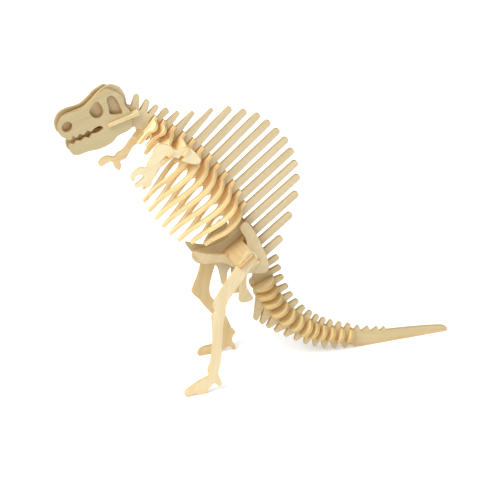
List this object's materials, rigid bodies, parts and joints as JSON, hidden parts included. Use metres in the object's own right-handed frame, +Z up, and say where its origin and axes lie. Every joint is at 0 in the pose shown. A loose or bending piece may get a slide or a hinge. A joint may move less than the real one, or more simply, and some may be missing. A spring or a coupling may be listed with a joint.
{
  "type": "wooden dinosaur skeleton jigsaw puzzle",
  "caption": "Slot-together plywood skeleton of a sail-backed dinosaur, standing on two legs and its tail, with cross plates for ribs and vertebrae.",
  "frame": {"origin": "middle of the model's footprint box, on the surface it stands on", "axes": "+Z up, -X is the way the head faces, -Y is the animal's left side"},
  "size_m": [0.359, 0.0766, 0.2806],
  "materials": {
    "plywood_light": "bare sanded face",
    "plywood_mid": "bare sanded face"
  },
  "bodies": {
    "frame": {"body_plate": "plywood_mid", "tail_plate": "plywood_mid", "head_bar": "plywood_light", "neck_plate_1": "plywood_light", "neck_plate_2": "plywood_light", "shoulder_plate_1": "plywood_light", "shoulder_plate_2": "plywood_light", "hip_cross_plate": "plywood_light", "sacral_plate": "plywood_light", "hip_left": "plywood_mid", "hip_right": "plywood_mid", "tail_vertebra_1": "plywood_mid", "tail_vertebra_2": "plywood_mid", "tail_vertebra_3": "plywood_mid", "tail_vertebra_4": "plywood_mid", "tail_vertebra_5": "plywood_mid", "tail_vertebra_6": "plywood_mid", "tail_vertebra_7": "plywood_mid", "tail_vertebra_8": "plywood_mid", "tail_vertebra_9": "plywood_mid", "tail_vertebra_10": "plywood_mid", "tail_vertebra_11": "plywood_mid", "tail_vertebra_12": "plywood_mid"},
    "skull_left": {"skull_left": "plywood_light"},
    "skull_right": {"skull_right": "plywood_light"},
    "arm_left": {"arm_left": "plywood_light"},
    "arm_right": {"arm_right": "plywood_light"},
    "leg_left": {"leg_left": "plywood_light"},
    "leg_right": {"leg_right": "plywood_light"},
    "rib_1": {"rib_1": "plywood_light"},
    "rib_2": {"rib_2": "plywood_mid"},
    "rib_3": {"rib_3": "plywood_light"},
    "rib_4": {"rib_4": "plywood_mid"},
    "rib_5": {"rib_5": "plywood_light"},
    "rib_6": {"rib_6": "plywood_mid"},
    "rib_7": {"rib_7": "plywood_light"},
    "rib_8": {"rib_8": "plywood_mid"}
  },
  "joints": [
    {"name": "skull_left_slide", "type": "slide", "parent": "frame", "child": "skull_left", "axis": [-0.9636, 0, -0.2672], "range_m": [0, 0.016]},
    {"name": "skull_right_slide", "type": "slide", "parent": "frame", "child": "skull_right", "axis": [-0.9636, 0, -0.2672], "range_m": [0, 0.016]},
    {"name": "arm_left_slide", "type": "slide", "parent": "frame", "child": "arm_left", "axis": [0.6947, 0, 0.7193], "range_m": [0, 0.007]},
    {"name": "arm_right_slide", "type": "slide", "parent": "frame", "child": "arm_right", "axis": [0.6947, 0, 0.7193], "range_m": [0, 0.007]},
    {"name": "leg_left_slide", "type": "slide", "parent": "frame", "child": "leg_left", "axis": [0, -1, 0], "range_m": [0, 0.009]},
    {"name": "leg_right_slide", "type": "slide", "parent": "frame", "child": "leg_right", "axis": [0, 1, 0], "range_m": [0, 0.009]},
    {"name": "rib_1_slide", "type": "slide", "parent": "frame", "child": "rib_1", "axis": [0.7163, 0, 0.6978], "range_m": [0, 0.016]},
    {"name": "rib_2_slide", "type": "slide", "parent": "frame", "child": "rib_2", "axis": [0.7373, 0, 0.6756], "range_m": [0, 0.016]},
    {"name": "rib_3_slide", "type": "slide", "parent": "frame", "child": "rib_3", "axis": [0.747, 0, 0.6648], "range_m": [0, 0.016]},
    {"name": "rib_4_slide", "type": "slide", "parent": "frame", "child": "rib_4", "axis": [0.7566, 0, 0.6539], "range_m": [0, 0.016]},
    {"name": "rib_5_slide", "type": "slide", "parent": "frame", "child": "rib_5", "axis": [0.766, 0, 0.6428], "range_m": [0, 0.016]},
    {"name": "rib_6_slide", "type": "slide", "parent": "frame", "child": "rib_6", "axis": [0.7755, 0, 0.6314], "range_m": [0, 0.016]},
    {"name": "rib_7_slide", "type": "slide", "parent": "frame", "child": "rib_7", "axis": [0.7848, 0, 0.6198], "range_m": [0, 0.016]},
    {"name": "rib_8_slide", "type": "slide", "parent": "frame", "child": "rib_8", "axis": [0.7862, 0, 0.618], "range_m": [0, 0.016]}
  ]
}
